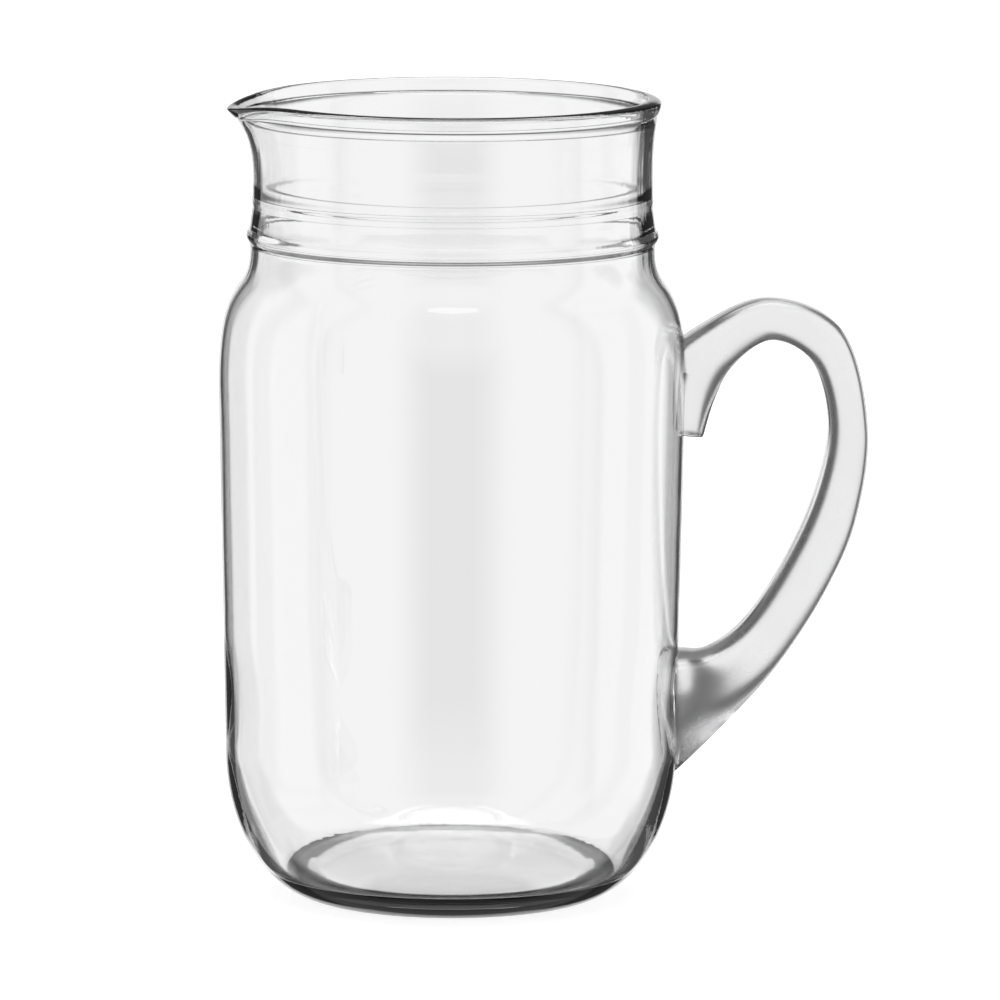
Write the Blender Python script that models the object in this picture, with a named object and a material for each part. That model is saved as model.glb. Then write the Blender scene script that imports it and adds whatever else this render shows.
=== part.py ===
"""Clear glass water jug: an open, pressed vessel with a pouring lip and an applied loop handle.

The jug stands on Z = 0 with its axis on Z. The handle is on the +X side and the pouring lip on
the -X side. Units are metres.
"""

import math

import bmesh
import bpy

# ---- driving dimensions -------------------------------------------------------------------
HEIGHT = 0.230              # table to the top of the rim
BODY_RADIUS = 0.0666        # widest part of the body, just under the shoulder
FOOT_RADIUS = 0.0644        # where the straight wall meets the rounded heel
NECK_RADIUS = 0.0569        # outside of the neck, under the flare of the rim
BASE_RADIUS = 0.0356        # flat that the jug stands on

HEEL_TOP = 0.0425           # height where the rounded heel becomes the wall
SHOULDER_FOOT = 0.149       # height where the wall starts to turn in
NECK_FOOT = 0.1868          # height where the shoulder reaches the neck
SHOULDER_HIGH = 0.1808      # heights that set how square the shoulder is
SHOULDER_LOW = 0.1729

NECK_WALL = 0.0027
LEDGE = 0.0013              # how much thinner the wall is below the step inside the neck
WALL = 0.0012               # from THIN_ABOVE up to the shoulder
THIN_ABOVE = 0.080
WALL_EASE = 0.35            # how softly the wall thickens between THIN_ABOVE and the heel
INSIDE_SHOULDER_HIGH = 0.1793
INSIDE_SHOULDER_LOW = 0.1724
HEEL_WALL = 0.0024
HEEL_HIGH = (0.0613, 0.0247)    # handles of the curve inside the heel
HEEL_LOW = (0.0508, 0.0087)
FLOOR_THICKNESS = 0.0083
FLOOR_RADIUS = 0.0470       # flat part of the inside floor

RIM_APEX = (0.0592, 0.2285)     # widest point of the rim, radius and height
RIM_UNDER = (0.0578, 0.2253)    # where its underside turns back to the neck
RIM_UNDER_START = -75       # degrees round the underside where its curve starts
RIM_TOP_RADIUS = 0.0558
RIM_INNER_Z = 0.2247
LEDGE_Z = 0.2032            # step inside the neck, where the wall turns thinner downwards
LEDGE_HALF = 0.0034
NECK_FLARE = 0.0006         # how much the neck widens under the rim
FLARE_FOOT = 0.208
FLARE_TOP = 0.2205
COLLAR_FLARE = 0.0007       # how much wider the neck is below the upper ring
LOWER_RING = (0.1906, 0.0029, 0.0011)       # height, half width, stand-out
UPPER_RING = (0.2006, 0.0018, 0.0002)

LIP_OUT = 0.0059            # how far the pouring lip reaches past the rim
LIP_DROP = 0.0024           # how far its tip hangs below the rim
LIP_START = 0.204           # height where the neck starts to lean out towards the lip
LIP_WIDTH = math.radians(17)

SEGMENTS = 64               # flats round the jug
GAP = 0.0003                # clearance between the vessel and the handle
MERGE = 0.00001             # points closer than this become one

HANDLE_SIDES = 22
HANDLE_STEPS = 4            # sections between two stations of the handle
INNER_SQUARENESS = 3.2      # exponent of the handle's section, 2 is an ellipse
OUTER_SQUARENESS = 5.0

# Stations along the handle, from the sheared upper end to the pointed lower foot. Each one has
# the edge beside the fingers, the outer edge, the width across the handle, and how much narrower
# the outer edge is than the finger side.
HANDLE_STATIONS = (
    ((0.0717, 0.1332), (0.0600, 0.1345), 0.0190, 0.00),
    ((0.0750, 0.1440), (0.0600, 0.1535), 0.0200, 0.00),
    ((0.0803, 0.1535), (0.0704, 0.1638), 0.0185, 0.00),
    ((0.0909, 0.1604), (0.0905, 0.1722), 0.0160, 0.00),
    ((0.1026, 0.1542), (0.1112, 0.1633), 0.0155, 0.00),
    ((0.1075, 0.1370), (0.1188, 0.1360), 0.0155, 0.00),
    ((0.1043, 0.1180), (0.1158, 0.1100), 0.0155, 0.00),
    ((0.0960, 0.0983), (0.1078, 0.0900), 0.0160, 0.00),
    ((0.0848, 0.0805), (0.0952, 0.0696), 0.0185, 0.05),
    ((0.0740, 0.0716), (0.0830, 0.0545), 0.0215, 0.25),
    ((0.0660, 0.0707), (0.0690, 0.0400), 0.0240, 0.60),
    ((0.0560, 0.0705), (0.0590, 0.0310), 0.0235, 0.75),
)


# ---- outline of the vessel ----------------------------------------------------------------
def arc(centre, radii, start, end, steps):
    """Points of an elliptical arc, angles in degrees from +X."""
    points = []
    for i in range(steps + 1):
        angle = math.radians(start + (end - start) * i / steps)
        points.append((centre[0] + radii[0] * math.cos(angle), centre[1] + radii[1] * math.sin(angle)))
    return points


def s_curve(foot, high, low, top, steps):
    """Points of a cubic curve through a foot and a top, drawn by two handles."""
    points = []
    for i in range(steps + 1):
        t = i / steps
        weights = ((1 - t) ** 3, 3 * t * (1 - t) ** 2, 3 * t * t * (1 - t), t ** 3)
        corners = (foot, high, low, top)
        points.append(tuple(sum(w * c[k] for w, c in zip(weights, corners)) for k in (0, 1)))
    return points


def ring(radius, shape, steps):
    """A low round ring on the neck."""
    middle, half, out = shape
    points = []
    for i in range(steps + 1):
        t = i / steps
        points.append((radius + out * math.sin(math.pi * t) ** 2, middle + half * (2 * t - 1)))
    return points


def outer_outline():
    """The outside of the vessel from the middle of the base up to the top of the rim."""
    collar = NECK_RADIUS + COLLAR_FLARE
    heel = arc((BASE_RADIUS, HEEL_TOP), (FOOT_RADIUS - BASE_RADIUS, HEEL_TOP), -90, 0, steps=9)
    wall = [((FOOT_RADIUS + BODY_RADIUS) / 2, (HEEL_TOP + SHOULDER_FOOT) / 2)]
    shoulder = s_curve((BODY_RADIUS, SHOULDER_FOOT), (BODY_RADIUS, SHOULDER_HIGH),
                       (collar, SHOULDER_LOW), (collar, NECK_FOOT), steps=9)
    rings = ring(collar, LOWER_RING, steps=6) + ring(NECK_RADIUS, UPPER_RING, steps=4)
    rise = (FLARE_TOP - FLARE_FOOT) / 3
    flare = s_curve((NECK_RADIUS, FLARE_FOOT), (NECK_RADIUS, FLARE_FOOT + rise),
                    (NECK_RADIUS + NECK_FLARE / 3, FLARE_TOP - rise), (NECK_RADIUS + NECK_FLARE, FLARE_TOP), steps=3)
    reach = RIM_APEX[0] - RIM_UNDER[0]
    under = arc((RIM_UNDER[0], RIM_APEX[1]), (reach, RIM_APEX[1] - RIM_UNDER[1]), RIM_UNDER_START, 0, steps=3)
    over = arc((RIM_TOP_RADIUS, RIM_APEX[1]), (RIM_APEX[0] - RIM_TOP_RADIUS, HEIGHT - RIM_APEX[1]),
               0, 90, steps=4)
    return [(0.0, 0.0)] + heel + wall + shoulder + rings + flare + under + over[1:]


def inner_outline():
    """The inside of the vessel from the rim down to the middle of the floor."""
    inside = NECK_RADIUS - NECK_WALL
    below = inside + LEDGE
    rim = arc((RIM_TOP_RADIUS, RIM_INNER_Z), (RIM_TOP_RADIUS - inside, HEIGHT - RIM_INNER_Z),
              90, 180, steps=4)[1:]
    neck = [(inside, FLARE_TOP), (inside, FLARE_FOOT)]
    ledge = [(inside, LEDGE_Z + LEDGE_HALF), (below, LEDGE_Z - LEDGE_HALF)]
    shoulder = s_curve((BODY_RADIUS - WALL, SHOULDER_FOOT), (BODY_RADIUS - WALL, INSIDE_SHOULDER_HIGH),
                       (below, INSIDE_SHOULDER_LOW), (below, NECK_FOOT), steps=7)
    foot = FOOT_RADIUS - HEEL_WALL
    lean = (BODY_RADIUS - FOOT_RADIUS) * (THIN_ABOVE - HEEL_TOP) / (SHOULDER_FOOT - HEEL_TOP)
    thin = FOOT_RADIUS + lean - WALL
    ease = WALL_EASE * (THIN_ABOVE - HEEL_TOP)
    wall = s_curve((thin, THIN_ABOVE), (thin, THIN_ABOVE - ease), (foot, HEEL_TOP + ease),
                   (foot, HEEL_TOP), steps=4)
    heel = s_curve((foot, HEEL_TOP), HEEL_HIGH, HEEL_LOW, (FLOOR_RADIUS, FLOOR_THICKNESS), steps=8)[1:]
    return rim + neck + ledge + shoulder[::-1] + wall + heel + [(0.0, FLOOR_THICKNESS)]


def lip_shift(azimuth, height):
    """Share of the pouring lip's full pull at an azimuth from -X and a height."""
    rise = (height - LIP_START) / (HEIGHT - LIP_START)
    if rise <= 0:
        return 0.0
    return rise ** 3 * math.exp(-(azimuth / LIP_WIDTH) ** 2)


def spun(name, outline):
    """A closed mesh turned from an open outline whose two ends lie on the axis."""
    mesh = bpy.data.meshes.new(name)
    work = bmesh.new()
    verts = [work.verts.new((radius, 0.0, height)) for radius, height in outline]
    edges = [work.edges.new(pair) for pair in zip(verts, verts[1:])]
    bmesh.ops.spin(work, geom=verts + edges, cent=(0, 0, 0), axis=(0, 0, 1), angle=2 * math.pi,
                   steps=SEGMENTS, use_merge=True, use_duplicate=False)
    bmesh.ops.remove_doubles(work, verts=work.verts, dist=MERGE)
    bmesh.ops.recalc_face_normals(work, faces=work.faces)
    work.to_mesh(mesh)
    work.free()
    thing = bpy.data.objects.new(name, mesh)
    bpy.context.scene.collection.objects.link(thing)
    return thing


# ---- materials ----------------------------------------------------------------------------
def glass(name, colour, roughness):
    material = bpy.data.materials.new(name)
    material.use_nodes = True
    shader = material.node_tree.nodes["Principled BSDF"]
    shader.inputs["Base Color"].default_value = colour
    shader.inputs["Roughness"].default_value = roughness
    shader.inputs["Metallic"].default_value = 0.0
    shader.inputs["Alpha"].default_value = 0.4
    return material


def finish(thing, material, sharp_angle):
    thing.data.materials.append(material)
    thing.data.shade_smooth()
    thing.data.set_sharp_from_angle(angle=math.radians(sharp_angle))


# ---- sub-parts ----------------------------------------------------------------------------
def jug_body():
    """The vessel: thick base, rounded heel, thin wall, shoulder, ringed neck, rim and lip."""
    body = spun("jug_body", outer_outline() + inner_outline())
    for vert in body.data.vertices:
        x, y, z = vert.co
        radius = math.hypot(x, y)
        pull = lip_shift(math.atan2(y, -x), z)
        if pull > 0:
            grown = (radius + LIP_OUT * pull) / radius
            vert.co = (x * grown, y * grown, z - LIP_DROP * pull)
    return body


def smooth_between(values, position):
    """Catmull-Rom value of a list of numbers at a fractional position in it."""
    index = min(int(position), len(values) - 2)
    t = position - index
    before = values[max(index - 1, 0)]
    start = values[index]
    end = values[index + 1]
    after = values[min(index + 2, len(values) - 1)]
    slope_start = (end - before) / 2
    slope_end = (after - start) / 2
    return ((2 * t ** 3 - 3 * t * t + 1) * start + (t ** 3 - 2 * t * t + t) * slope_start
            + (3 * t * t - 2 * t ** 3) * end + (t ** 3 - t * t) * slope_end)


def handle_section(position):
    """Points round the handle at a fractional station."""
    columns = list(zip(*[(*inner, *outer, width, taper) for inner, outer, width, taper in HANDLE_STATIONS]))
    inner_x, inner_z, outer_x, outer_z, width, taper = (smooth_between(c, position) for c in columns)
    middle_x = (inner_x + outer_x) / 2
    middle_z = (inner_z + outer_z) / 2
    outer_squareness = 2 + (OUTER_SQUARENESS - 2) * (1 - taper) ** 4
    points = []
    for side in range(HANDLE_SIDES):
        angle = 2 * math.pi * side / HANDLE_SIDES
        squareness = outer_squareness if math.cos(angle) > 0 else INNER_SQUARENESS
        power = 2 / squareness
        along = math.copysign(abs(math.cos(angle)) ** power, math.cos(angle))
        across = math.copysign(abs(math.sin(angle)) ** power, math.sin(angle))
        points.append((middle_x + along * (outer_x - inner_x) / 2,
                       across * width / 2 * (1 - taper * along),
                       middle_z + along * (outer_z - inner_z) / 2))
    return points


def handle_blank():
    """The handle before its two ends are fitted to the wall of the vessel."""
    mesh = bpy.data.meshes.new("handle")
    work = bmesh.new()
    last = (len(HANDLE_STATIONS) - 1) * HANDLE_STEPS
    loops = []
    for i in range(last + 1):
        verts = [work.verts.new(point) for point in handle_section(i / HANDLE_STEPS)]
        loops.append(verts)
    for low, high in zip(loops, loops[1:]):
        for side in range(HANDLE_SIDES):
            after = (side + 1) % HANDLE_SIDES
            work.faces.new((low[side], low[after], high[after], high[side]))
    work.faces.new(loops[0][::-1])
    work.faces.new(loops[-1])
    bmesh.ops.recalc_face_normals(work, faces=work.faces)
    work.to_mesh(mesh)
    work.free()
    thing = bpy.data.objects.new("handle", mesh)
    bpy.context.scene.collection.objects.link(thing)
    return thing


def fitting_cutter():
    """A solid just larger than the vessel, which shapes the handle's ends."""
    outline = [(radius + GAP if radius > 0 else 0.0, height) for radius, height in outer_outline()]
    outline[-1] = (0.0, outline[-1][1])
    cutter = spun("fitting_cutter", outline)
    cutter.hide_render = True
    cutter.display_type = "WIRE"
    return cutter


def handle():
    """The loop handle, with a blunt upper end and a wide pointed foot fitted to the wall."""
    thing = handle_blank()
    cut = thing.modifiers.new("fit to the wall", "BOOLEAN")
    cut.operation = "DIFFERENCE"
    cut.solver = "EXACT"
    cut.object = fitting_cutter()
    return thing


def build():
    for thing in list(bpy.data.objects):
        bpy.data.objects.remove(thing, do_unlink=True)
    finish(jug_body(), glass("clear glass", (0.93, 0.95, 0.95, 1.0), 0.03), 60)
    finish(handle(), glass("satin clear glass", (0.90, 0.91, 0.92, 1.0), 0.12), 50)


build()
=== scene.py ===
"""Looks of the clear glass water jug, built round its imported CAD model.

The vessel and the handle are rebuilt finer than their CAD nodes and given a glass each. They stand
in a pale studio whose soft light panels draw the edges of the glass. Metres, +Z up.
"""

import math

import bmesh
import bpy
from mathutils import Matrix, Vector


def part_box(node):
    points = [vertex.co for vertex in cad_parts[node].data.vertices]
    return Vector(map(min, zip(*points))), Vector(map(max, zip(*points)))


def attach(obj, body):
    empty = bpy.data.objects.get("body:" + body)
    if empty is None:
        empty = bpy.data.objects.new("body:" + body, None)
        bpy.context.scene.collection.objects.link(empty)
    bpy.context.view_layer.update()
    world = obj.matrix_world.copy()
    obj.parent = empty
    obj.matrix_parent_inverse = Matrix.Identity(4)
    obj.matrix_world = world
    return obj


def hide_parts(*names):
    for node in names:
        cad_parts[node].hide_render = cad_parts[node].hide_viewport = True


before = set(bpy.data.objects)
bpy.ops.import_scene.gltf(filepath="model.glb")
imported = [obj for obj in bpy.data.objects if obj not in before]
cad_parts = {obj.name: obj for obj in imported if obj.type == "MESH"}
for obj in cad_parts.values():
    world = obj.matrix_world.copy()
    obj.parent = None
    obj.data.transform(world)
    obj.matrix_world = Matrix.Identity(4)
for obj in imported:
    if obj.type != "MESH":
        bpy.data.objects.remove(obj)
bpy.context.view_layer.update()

# ---- sizes taken from the frame -----------------------------------------------------------
BODY_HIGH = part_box("jug_body")[1]
INSET = 0.00005             # keeps the finer shape inside the CAD box
HEIGHT = BODY_HIGH[2]
BODY_RADIUS = BODY_HIGH[1] - INSET

# ---- shape of the vessel ------------------------------------------------------------------
FOOT_RADIUS = 0.0644        # where the straight wall meets the rounded heel
NECK_RADIUS = 0.0569        # outside of the neck, under the flare of the rim
BASE_RADIUS = 0.0356        # flat that the jug stands on
HEEL_TOP = 0.0425           # height where the rounded heel becomes the wall
SHOULDER_FOOT = 0.149       # height where the wall starts to turn in
SHOULDER_HIGH = 0.1808      # heights that set how square the shoulder is
SHOULDER_LOW = 0.1729
INSIDE_SHOULDER_HIGH = 0.1793
INSIDE_SHOULDER_LOW = 0.1724
NECK_FOOT = 0.1868          # height where the shoulder reaches the neck
NECK_WALL = 0.0027
LEDGE = 0.0013              # how much thinner the wall is below the step inside the neck
WALL = 0.0012               # from THIN_ABOVE up to the shoulder
THIN_ABOVE = 0.080
WALL_EASE = 0.35            # how softly the wall thickens between THIN_ABOVE and the heel
HEEL_WALL = 0.0024
HEEL_HIGH = (0.0613, 0.0247)    # handles of the curve inside the heel
HEEL_LOW = (0.0508, 0.0087)
FLOOR_THICKNESS = 0.0083
FLOOR_RADIUS = 0.0470       # flat part of the inside floor
RIM_APEX = (0.0592, 0.2285)     # widest point of the rim, radius and height
RIM_UNDER = (0.0578, 0.2253)    # where its underside turns back to the neck
RIM_UNDER_START = -75       # degrees round the underside where its curve starts
RIM_TOP_RADIUS = 0.0558
RIM_INNER_Z = 0.2247
LEDGE_Z = 0.2032            # step inside the neck, where the wall turns thinner downwards
LEDGE_HALF = 0.0034
NECK_FLARE = 0.0006         # how much the neck widens under the rim
FLARE_FOOT = 0.208          # heights between which it widens
FLARE_TOP = 0.2205
COLLAR_FLARE = 0.0007       # how much wider the neck is below the upper ring
LOWER_RING = (0.1906, 0.0029, 0.0011)       # height, half width, stand-out
UPPER_RING = (0.2006, 0.0018, 0.0002)
LIP_OUT = 0.0059            # how far the pouring lip reaches past the rim
LIP_DROP = 0.0024           # how far its tip hangs below the rim
LIP_START = 0.204           # height where the neck starts to lean out towards the lip
LIP_WIDTH = math.radians(17)
LIP_GROWTH = 3              # power with which the lip leans out as it rises

# ---- shape of the handle ------------------------------------------------------------------
INNER_SQUARENESS = 3.2      # exponent of the handle's section, 2 is an ellipse
OUTER_SQUARENESS = 5.0
SQUARENESS_LOSS = 4         # how quickly the outer edge turns round as the handle tapers
SINK = 0.0004               # how far the fused ends reach into the wall

# Inner edge, outer edge, width and taper of the handle, from its sheared upper end to its foot.
HANDLE_STATIONS = (
    ((0.0717, 0.1332), (0.0600, 0.1345), 0.0190, 0.00),
    ((0.0750, 0.1440), (0.0600, 0.1535), 0.0200, 0.00),
    ((0.0803, 0.1535), (0.0704, 0.1638), 0.0185, 0.00),
    ((0.0909, 0.1604), (0.0905, 0.1722), 0.0160, 0.00),
    ((0.1026, 0.1542), (0.1112, 0.1633), 0.0155, 0.00),
    ((0.1075, 0.1370), (0.1187, 0.1360), 0.0155, 0.00),
    ((0.1043, 0.1180), (0.1158, 0.1100), 0.0155, 0.00),
    ((0.0960, 0.0983), (0.1078, 0.0900), 0.0160, 0.00),
    ((0.0848, 0.0805), (0.0952, 0.0696), 0.0185, 0.05),
    ((0.0740, 0.0716), (0.0830, 0.0545), 0.0215, 0.25),
    ((0.0660, 0.0707), (0.0690, 0.0400), 0.0240, 0.60),
    ((0.0560, 0.0705), (0.0590, 0.0310), 0.0235, 0.75),
)

# ---- fineness of the meshes ---------------------------------------------------------------
SEGMENTS = 192              # flats round the jug
STRAIGHT_STEP = 0.003       # about how far apart points stand on straight stretches of outline
BASE_SHARES = (0.0, 0.5, 0.9)           # shares of the base radius where points stand
FLOOR_SHARES = (0.8, 0.5, 0.25, 0.0)    # the same on the inside floor, inwards
MERGE = 0.000001            # points closer than this become one
HANDLE_SIDES = 64           # points round a section of the handle
HANDLE_STEPS = 12           # sections between two stations of the handle

# ---- glass --------------------------------------------------------------------------------
GLASS_INDEX = 1.5
VESSEL_TINT = (0.985, 0.985, 0.99, 1.0)
HANDLE_TINT = (0.98, 0.98, 0.985, 1.0)
VESSEL_HAZE = 0.004         # roughness of the vessel
HANDLE_SATIN = 0.26         # roughness that the handle's flat sides add to that of its edges
HANDLE_POLISH = 0.02        # roughness of its inner and outer edges
HANDLE_SIDE = (0.35, 0.75)  # how far a surface faces sideways where the satin starts and is full
HAZE_SPREAD = 0.4           # share by which the roughness varies
HAZE_SCALE = 60.0           # patches of haze per metre
# Reliefs of the glass: width of the bumps, how many times longer they are along Z, and depth.
VESSEL_RIPPLE = (0.020, 1.0, 0.00004)
NECK_STREAK = (0.0035, 8.0, 0.00004)
HEEL_CRINKLE = (0.0050, 0.25, 0.000006)
HANDLE_RIPPLE = (0.018, 1.0, 0.00008)
HANDLE_GRAIN = (0.006, 1.6, 0.00001)
HEEL_CRINKLE_HEIGHTS = (0.040, 0.025)   # where the crinkles start and where they are full
HEEL_CRINKLE_RADII = (0.052, 0.060)

# ---- camera and studio --------------------------------------------------------------------
CAMERA_AZIMUTH = -3.5       # degrees, towards the lip
CAMERA_ELEVATION = 8.16
CAMERA_DISTANCE = 3.1
CAMERA_ROLL = 0.235         # degrees
CAMERA_AIM = Vector((0.0138, 0.0, 0.1144))
CAMERA_REACH = 200.0        # farthest distance that it sees
LENS = 391.0
SENSOR = 36.0
GROUND_RADIUS = 80.0        # the studio floor
GROUND_SIDES = 96
GROUND_GREY = 0.5
GROUND_ROUGHNESS = 0.8
GROUND_GLOW = 0.7
LAMP_SIZE = 3.0
LAMP_HEIGHT = 3.0
LAMP_POWER = 60.0
DARK_LEVEL = 0.08           # brightness of the dome between the panels
OVERHEAD = 1.0              # brightness of the dome's top
OVERHEAD_EDGE = (0.80, 0.92)    # heights on a dome of radius 1 between which it fades in
PANEL_TOP_EDGE = 8.0        # degrees over which the top of a panel fades out
UNDER_THE_DOME = -2.0       # a height below every point of the dome

# Light panels of the dome: middle azimuth, half width, lowest and highest elevation in degrees,
# brightness, and the degrees over which the sides and the foot fade out. One stands behind the jug
# for each side that it is looked at from, wide ones below the horizon give the light of a pale
# table, and between them the dome is darker.
PANELS = (
    (177.5, 13.5, -22.0, 6.0, 0.92, 3.0),
    (177.5, 9.0, -40.0, 6.0, 0.85, 4.0),
    (177.5, 13.5, -24.0, 50.0, 0.13, 3.0),
    (177.5, 45.0, -90.0, -42.0, 0.25, 4.0),
    (-3.5, 118.0, -60.0, -26.0, 1.00, 8.0),
    (226.0, 13.0, -34.0, 75.0, 0.95, 4.0),
    (270.0, 13.0, -20.0, 75.0, 1.05, 8.0),
    (312.0, 11.0, -20.0, 75.0, 1.00, 32.0),
    (280.0, 48.0, -20.0, 75.0, 0.60, 8.0),
    (45.0, 13.0, -24.0, 75.0, 1.00, 30.0),
    (102.0, 22.0, -24.0, 75.0, 1.10, 8.0),
    (-3.5, 60.0, -14.0, 20.0, 0.15, 10.0),
    (-3.5, 40.0, 24.0, 75.0, 0.90, 30.0),
)


# ---- outlines -----------------------------------------------------------------------------
def arc(centre, radii, start, end, steps):
    """Points of an elliptical arc, angles in degrees from +X."""
    points = []
    for i in range(steps + 1):
        angle = math.radians(start + (end - start) * i / steps)
        points.append((centre[0] + radii[0] * math.cos(angle), centre[1] + radii[1] * math.sin(angle)))
    return points


def s_curve(foot, high, low, top, steps):
    """Points of a cubic curve through a foot and a top, drawn by two handles."""
    points = []
    for i in range(steps + 1):
        t = i / steps
        weights = ((1 - t) ** 3, 3 * t * (1 - t) ** 2, 3 * t * t * (1 - t), t ** 3)
        corners = (foot, high, low, top)
        points.append(tuple(sum(w * c[k] for w, c in zip(weights, corners)) for k in (0, 1)))
    return points


def line(start, end, steps):
    """Points between two ends, both left out."""
    return [(start[0] + (end[0] - start[0]) * i / steps, start[1] + (end[1] - start[1]) * i / steps)
            for i in range(1, steps)]


def ring(radius, shape, steps):
    """A low round ring on the neck."""
    middle, half, out = shape
    points = []
    for i in range(steps + 1):
        t = i / steps
        points.append((radius + out * math.sin(math.pi * t) ** 2, middle + half * (2 * t - 1)))
    return points


def joined(*stretches):
    """Stretches of outline one after another, with the straight gaps between them filled."""
    points = list(stretches[0])
    for stretch in stretches[1:]:
        gap = math.dist(points[-1], stretch[0])
        points += line(points[-1], stretch[0], max(1, round(gap / STRAIGHT_STEP)))
        points += stretch
    return points


def outer_outline():
    """The outside, from the middle of the base up to the top of the rim."""
    collar = NECK_RADIUS + COLLAR_FLARE
    base = [(BASE_RADIUS * share, 0.0) for share in BASE_SHARES]
    heel = arc((BASE_RADIUS, HEEL_TOP), (FOOT_RADIUS - BASE_RADIUS, HEEL_TOP), -90, 0, steps=26)
    shoulder = s_curve((BODY_RADIUS, SHOULDER_FOOT), (BODY_RADIUS, SHOULDER_HIGH),
                       (collar, SHOULDER_LOW), (collar, NECK_FOOT), steps=24)
    rise = (FLARE_TOP - FLARE_FOOT) / 3
    flare = s_curve((NECK_RADIUS, FLARE_FOOT), (NECK_RADIUS, FLARE_FOOT + rise),
                    (NECK_RADIUS + NECK_FLARE / 3, FLARE_TOP - rise),
                    (NECK_RADIUS + NECK_FLARE, FLARE_TOP), steps=6)
    reach = RIM_APEX[0] - RIM_UNDER[0]
    under = arc((RIM_UNDER[0], RIM_APEX[1]), (reach, RIM_APEX[1] - RIM_UNDER[1]),
                RIM_UNDER_START, 0, steps=10)
    over = arc((RIM_TOP_RADIUS, RIM_APEX[1]), (RIM_APEX[0] - RIM_TOP_RADIUS, HEIGHT - RIM_APEX[1]),
               0, 90, steps=12)
    return joined(base, heel, shoulder, ring(collar, LOWER_RING, steps=12),
                  ring(NECK_RADIUS, UPPER_RING, steps=10), flare, under + over[1:])


def inner_outline():
    """The inside, from the rim down to the middle of the floor."""
    inside = NECK_RADIUS - NECK_WALL
    below = inside + LEDGE
    rim = arc((RIM_TOP_RADIUS, RIM_INNER_Z), (RIM_TOP_RADIUS - inside, HEIGHT - RIM_INNER_Z),
              90, 180, steps=12)[1:]
    ledge = s_curve((inside, LEDGE_Z + LEDGE_HALF), (inside, LEDGE_Z), (below, LEDGE_Z),
                    (below, LEDGE_Z - LEDGE_HALF), steps=14)
    shoulder = s_curve((BODY_RADIUS - WALL, SHOULDER_FOOT), (BODY_RADIUS - WALL, INSIDE_SHOULDER_HIGH),
                       (below, INSIDE_SHOULDER_LOW), (below, NECK_FOOT), steps=24)
    foot = FOOT_RADIUS - HEEL_WALL
    lean = (BODY_RADIUS - FOOT_RADIUS) * (THIN_ABOVE - HEEL_TOP) / (SHOULDER_FOOT - HEEL_TOP)
    thin = FOOT_RADIUS + lean - WALL
    ease = WALL_EASE * (THIN_ABOVE - HEEL_TOP)
    wall = s_curve((thin, THIN_ABOVE), (thin, THIN_ABOVE - ease), (foot, HEEL_TOP + ease),
                   (foot, HEEL_TOP), steps=12)
    heel = s_curve((foot, HEEL_TOP), HEEL_HIGH, HEEL_LOW, (FLOOR_RADIUS, FLOOR_THICKNESS), steps=28)[1:]
    floor = [(FLOOR_RADIUS * share, FLOOR_THICKNESS) for share in FLOOR_SHARES]
    return joined(rim, ledge, shoulder[::-1], wall, heel, floor)


def lip_shift(azimuth, height):
    """Share of the pouring lip's full pull at an azimuth from -X and a height."""
    rise = (height - LIP_START) / (HEIGHT - LIP_START)
    if rise <= 0:
        return 0.0
    return rise ** LIP_GROWTH * math.exp(-(azimuth / LIP_WIDTH) ** 2)


def spun(name, outline):
    """A closed mesh turned from an open outline whose two ends lie on the axis."""
    mesh = bpy.data.meshes.new(name)
    work = bmesh.new()
    verts = [work.verts.new((radius, 0.0, height)) for radius, height in outline]
    edges = [work.edges.new(pair) for pair in zip(verts, verts[1:])]
    bmesh.ops.spin(work, geom=verts + edges, cent=(0, 0, 0), axis=(0, 0, 1), angle=2 * math.pi,
                   steps=SEGMENTS, use_merge=True, use_duplicate=False)
    bmesh.ops.remove_doubles(work, verts=work.verts, dist=MERGE)
    bmesh.ops.recalc_face_normals(work, faces=work.faces)
    work.to_mesh(mesh)
    work.free()
    thing = bpy.data.objects.new(name, mesh)
    bpy.context.scene.collection.objects.link(thing)
    return thing


# ---- pieces -------------------------------------------------------------------------------
def finish(piece, material, body, node):
    """Gives a piece its material and its place in the frame."""
    piece.data.materials.clear()
    piece.data.materials.append(material)
    piece.data.shade_smooth()
    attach(piece, body)
    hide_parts(node)


def vessel():
    """The vessel with its lip."""
    piece = spun("jug_body_glass", outer_outline() + inner_outline())
    for vert in piece.data.vertices:
        x, y, z = vert.co
        radius = math.hypot(x, y)
        pull = lip_shift(math.atan2(y, -x), z)
        if pull > 0:
            grown = (radius + LIP_OUT * pull) / radius
            vert.co = (x * grown, y * grown, z - LIP_DROP * pull)
    return piece


def smooth_between(values, position):
    """Catmull-Rom value of a list of numbers at a fractional position in it."""
    index = min(int(position), len(values) - 2)
    t = position - index
    before = values[max(index - 1, 0)]
    start = values[index]
    end = values[index + 1]
    after = values[min(index + 2, len(values) - 1)]
    slope_start = (end - before) / 2
    slope_end = (after - start) / 2
    return ((2 * t ** 3 - 3 * t * t + 1) * start + (t ** 3 - 2 * t * t + t) * slope_start
            + (3 * t * t - 2 * t ** 3) * end + (t ** 3 - t * t) * slope_end)


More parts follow.
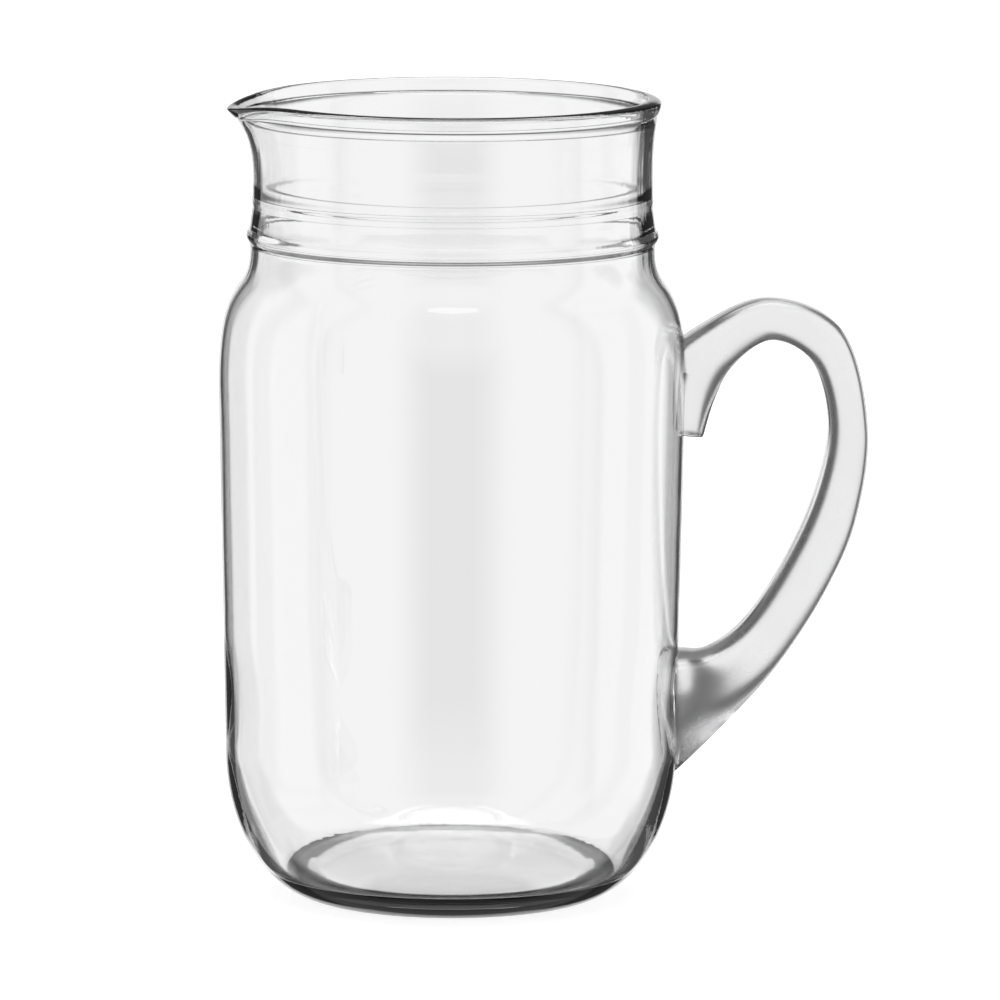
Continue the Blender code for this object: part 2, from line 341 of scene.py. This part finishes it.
def handle_section(position):
    """Points round the handle at a fractional station."""
    columns = list(zip(*[(*inner, *outer, width, taper) for inner, outer, width, taper in HANDLE_STATIONS]))
    inner_x, inner_z, outer_x, outer_z, width, taper = (smooth_between(c, position) for c in columns)
    middle_x = (inner_x + outer_x) / 2
    middle_z = (inner_z + outer_z) / 2
    outer_squareness = 2 + (OUTER_SQUARENESS - 2) * (1 - taper) ** SQUARENESS_LOSS
    points = []
    for side in range(HANDLE_SIDES):
        angle = 2 * math.pi * side / HANDLE_SIDES
        squareness = outer_squareness if math.cos(angle) > 0 else INNER_SQUARENESS
        power = 2 / squareness
        along = math.copysign(abs(math.cos(angle)) ** power, math.cos(angle))
        across = math.copysign(abs(math.sin(angle)) ** power, math.sin(angle))
        points.append((middle_x + along * (outer_x - inner_x) / 2,
                       across * width / 2 * (1 - taper * along),
                       middle_z + along * (outer_z - inner_z) / 2))
    return points


def loop_handle():
    """The loop handle, its two ends sunk a little into the wall that they are fused to."""
    mesh = bpy.data.meshes.new("handle_glass")
    work = bmesh.new()
    last = (len(HANDLE_STATIONS) - 1) * HANDLE_STEPS
    loops = [[work.verts.new(point) for point in handle_section(i / HANDLE_STEPS)] for i in range(last + 1)]
    for low, high in zip(loops, loops[1:]):
        for side in range(HANDLE_SIDES):
            after = (side + 1) % HANDLE_SIDES
            work.faces.new((low[side], low[after], high[after], high[side]))
    work.faces.new(loops[0][::-1])
    work.faces.new(loops[-1])
    bmesh.ops.recalc_face_normals(work, faces=work.faces)
    work.to_mesh(mesh)
    work.free()
    piece = bpy.data.objects.new("handle_glass", mesh)
    bpy.context.scene.collection.objects.link(piece)
    outline = [(max(radius - SINK, 0.0), height) for radius, height in outer_outline()]
    outline.append((0.0, outline[-1][1]))
    cutter = spun("wall_cutter", outline)
    cut = piece.modifiers.new("fit to the wall", "BOOLEAN")
    cut.operation = "DIFFERENCE"
    cut.solver = "EXACT"
    cut.object = cutter
    graph = bpy.context.evaluated_depsgraph_get()
    fitted = bpy.data.meshes.new_from_object(piece.evaluated_get(graph))
    piece.modifiers.clear()
    piece.data = fitted
    bpy.data.objects.remove(cutter)
    return piece


# ---- materials ----------------------------------------------------------------------------
def shader_node(tree, kind, **values):
    """A new shader node with some of its sockets or settings filled in."""
    made = tree.nodes.new(kind)
    for name, value in values.items():
        if name in made.inputs:
            made.inputs[name].default_value = value
        else:
            setattr(made, name, value)
    return made


def combined(tree, operation, first, second):
    """A maths node on two sockets, or on a socket and a number."""
    made = shader_node(tree, "ShaderNodeMath", operation=operation)
    for index, value in enumerate((first, second)):
        if isinstance(value, (int, float)):
            made.inputs[index].default_value = value
        else:
            tree.links.new(value, made.inputs[index])
    return made.outputs[0]


def smooth_step(tree, value, start, end):
    """0 before start and 1 after end of a value, as a node socket."""
    ramp = shader_node(tree, "ShaderNodeMapRange", interpolation_type="SMOOTHSTEP")
    tree.links.new(value, ramp.inputs["Value"])
    ramp.inputs["From Min"].default_value = start
    ramp.inputs["From Max"].default_value = end
    return ramp.outputs["Result"]


def relief(tree, place, shape):
    """Height in metres of a noise relief of the given width, stretch along Z and depth."""
    size, along, depth = shape
    spread = shader_node(tree, "ShaderNodeMapping", Scale=(1 / size, 1 / size, 1 / (size * along)))
    tree.links.new(place, spread.inputs["Vector"])
    bumps = shader_node(tree, "ShaderNodeTexNoise", Scale=1.0, Detail=1.0)
    tree.links.new(spread.outputs["Vector"], bumps.inputs["Vector"])
    return combined(tree, "MULTIPLY", bumps.outputs["Fac"], depth)


def haze(tree, place, amount):
    """Roughness that varies in soft patches round an amount, as washed glass has."""
    patches = shader_node(tree, "ShaderNodeTexNoise", Scale=HAZE_SCALE, Detail=3.0)
    tree.links.new(place, patches.inputs["Vector"])
    spread = shader_node(tree, "ShaderNodeMapRange")
    spread.inputs["To Min"].default_value = amount * (1 - HAZE_SPREAD)
    spread.inputs["To Max"].default_value = amount * (1 + HAZE_SPREAD)
    tree.links.new(patches.outputs["Fac"], spread.inputs["Value"])
    return spread.outputs["Result"]


def glass(name, tint):
    """Clear glass: its material, shader, coordinates in the object, and the socket for its relief."""
    material = bpy.data.materials.new(name)
    material.use_nodes = True
    tree = material.node_tree
    shader = tree.nodes["Principled BSDF"]
    shader.inputs["Base Color"].default_value = tint
    shader.inputs["IOR"].default_value = GLASS_INDEX
    shader.inputs["Transmission Weight"].default_value = 1.0
    place = shader_node(tree, "ShaderNodeTexCoord").outputs["Object"]
    bump = shader_node(tree, "ShaderNodeBump", Strength=1.0, Distance=1.0)
    tree.links.new(bump.outputs["Normal"], shader.inputs["Normal"])
    return material, shader, place, bump.inputs["Height"]


def vessel_glass():
    """Slow ripples all over, drawn streaks up the neck and slight crinkles round the heel."""
    material, shader, place, height = glass("clear glass", VESSEL_TINT)
    tree = material.node_tree
    tree.links.new(haze(tree, place, VESSEL_HAZE), shader.inputs["Roughness"])
    parts = shader_node(tree, "ShaderNodeSeparateXYZ")
    tree.links.new(place, parts.inputs["Vector"])
    flat = shader_node(tree, "ShaderNodeVectorMath", operation="MULTIPLY")
    flat.inputs[1].default_value = (1.0, 1.0, 0.0)
    tree.links.new(place, flat.inputs[0])
    reach = shader_node(tree, "ShaderNodeVectorMath", operation="LENGTH")
    tree.links.new(flat.outputs["Vector"], reach.inputs[0])
    neck = smooth_step(tree, parts.outputs["Z"], SHOULDER_LOW, NECK_FOOT)
    heel = combined(tree, "MULTIPLY", smooth_step(tree, parts.outputs["Z"], *HEEL_CRINKLE_HEIGHTS),
                    smooth_step(tree, reach.outputs["Value"], *HEEL_CRINKLE_RADII))
    ripples = relief(tree, place, VESSEL_RIPPLE)
    streaks = combined(tree, "MULTIPLY", relief(tree, place, NECK_STREAK), neck)
    crinkles = combined(tree, "MULTIPLY", relief(tree, place, HEEL_CRINKLE), heel)
    total = combined(tree, "ADD", ripples, combined(tree, "ADD", streaks, crinkles))
    tree.links.new(total, height)
    return material


def handle_glass():
    """Satin flat sides, polished inner and outer edges, and broad deep ripples."""
    material, shader, place, height = glass("handle glass", HANDLE_TINT)
    tree = material.node_tree
    facing = shader_node(tree, "ShaderNodeSeparateXYZ")
    tree.links.new(shader_node(tree, "ShaderNodeNewGeometry").outputs["Normal"], facing.inputs["Vector"])
    sideways = smooth_step(tree, combined(tree, "ABSOLUTE", facing.outputs["Y"], 0.0), *HANDLE_SIDE)
    satin = combined(tree, "MULTIPLY", sideways, haze(tree, place, HANDLE_SATIN))
    tree.links.new(combined(tree, "ADD", satin, HANDLE_POLISH), shader.inputs["Roughness"])
    slow = relief(tree, place, HANDLE_RIPPLE)
    fine = relief(tree, place, HANDLE_GRAIN)
    tree.links.new(combined(tree, "ADD", slow, fine), height)
    return material


# ---- camera, floor and studio -------------------------------------------------------------
def direction(azimuth, elevation):
    """Unit vector at an azimuth from -Y and an elevation, in degrees."""
    a = math.radians(azimuth)
    e = math.radians(elevation)
    return Vector((math.sin(a) * math.cos(e), -math.cos(a) * math.cos(e), math.sin(e)))


def camera():
    """The camera at the height and turn of the reference view."""
    data = bpy.data.cameras.new("camera")
    data.lens = LENS
    data.sensor_width = SENSOR
    data.clip_end = CAMERA_REACH
    thing = bpy.data.objects.new("camera", data)
    bpy.context.scene.collection.objects.link(thing)
    back = direction(CAMERA_AZIMUTH, CAMERA_ELEVATION)
    turn = back.to_track_quat("Z", "Y").to_matrix().to_4x4()
    roll = Matrix.Rotation(math.radians(CAMERA_ROLL), 4, "Z")
    thing.matrix_world = Matrix.Translation(CAMERA_AIM + back * CAMERA_DISTANCE) @ turn @ roll
    bpy.context.scene.camera = thing


def floor():
    """A wide pale floor that the glass itself doesn't pick up."""
    mesh = bpy.data.meshes.new("floor")
    work = bmesh.new()
    bmesh.ops.create_circle(work, cap_ends=True, radius=GROUND_RADIUS, segments=GROUND_SIDES)
    work.to_mesh(mesh)
    work.free()
    thing = bpy.data.objects.new("floor", mesh)
    bpy.context.scene.collection.objects.link(thing)
    material = bpy.data.materials.new("pale floor")
    material.use_nodes = True
    shader = material.node_tree.nodes["Principled BSDF"]
    shader.inputs["Base Color"].default_value = (GROUND_GREY, GROUND_GREY, GROUND_GREY, 1.0)
    shader.inputs["Roughness"].default_value = GROUND_ROUGHNESS
    shader.inputs["Emission Color"].default_value = (1.0, 1.0, 1.0, 1.0)
    shader.inputs["Emission Strength"].default_value = GROUND_GLOW
    mesh.materials.append(material)
    thing.visible_transmission = False
    thing.visible_glossy = False


def panel(tree, azimuth, height, shape):
    """Brightness of a soft-edged panel of the dome, 0 outside it."""
    middle, half, low, high, level, edge = shape
    offset = combined(tree, "SUBTRACT", azimuth, math.radians(middle))
    wrapped = shader_node(tree, "ShaderNodeMath", operation="WRAP")
    tree.links.new(offset, wrapped.inputs[0])
    wrapped.inputs[1].default_value = math.pi
    wrapped.inputs[2].default_value = -math.pi
    away = combined(tree, "ABSOLUTE", wrapped.outputs[0], 0.0)
    side = smooth_step(tree, away, math.radians(half + edge), math.radians(half))
    fade_start = math.sin(math.radians(low - edge)) if low > -90 else UNDER_THE_DOME
    foot = smooth_step(tree, height, fade_start, math.sin(math.radians(low)))
    fade_end = math.sin(math.radians(high + PANEL_TOP_EDGE))
    top = smooth_step(tree, height, fade_end, math.sin(math.radians(high)))
    return combined(tree, "MULTIPLY", combined(tree, "MULTIPLY", side, foot),
                    combined(tree, "MULTIPLY", top, level))


def studio():
    """A dome with tall light panels, dark between them so that the edges of the glass draw dark."""
    scene = bpy.context.scene
    world = bpy.data.worlds.new("studio")
    scene.world = world
    world.use_nodes = True
    tree = world.node_tree
    back = tree.nodes["Background"]
    place = shader_node(tree, "ShaderNodeTexCoord")
    parts = shader_node(tree, "ShaderNodeSeparateXYZ")
    tree.links.new(place.outputs["Generated"], parts.inputs["Vector"])
    height = parts.outputs["Z"]
    forward = combined(tree, "MULTIPLY", parts.outputs["Y"], -1.0)
    azimuth = combined(tree, "ARCTAN2", parts.outputs["X"], forward)
    light = combined(tree, "MULTIPLY", smooth_step(tree, height, *OVERHEAD_EDGE), OVERHEAD)
    for shape in PANELS:
        light = combined(tree, "MAXIMUM", light, panel(tree, azimuth, height, shape))
    light = combined(tree, "MAXIMUM", light, DARK_LEVEL)
    tree.links.new(light, back.inputs["Strength"])
    back.inputs["Color"].default_value = (1.0, 1.0, 1.0, 1.0)
    scene.view_settings.view_transform = "Standard"
    top = bpy.data.lights.new("overhead", "AREA")
    top.shape = "DISK"
    top.size = LAMP_SIZE
    top.energy = LAMP_POWER
    lamp = bpy.data.objects.new("overhead", top)
    lamp.location = (0.0, 0.0, LAMP_HEIGHT)
    scene.collection.objects.link(lamp)


finish(vessel(), vessel_glass(), "root", "jug_body")
finish(loop_handle(), handle_glass(), "root", "handle")
camera()
floor()
studio()
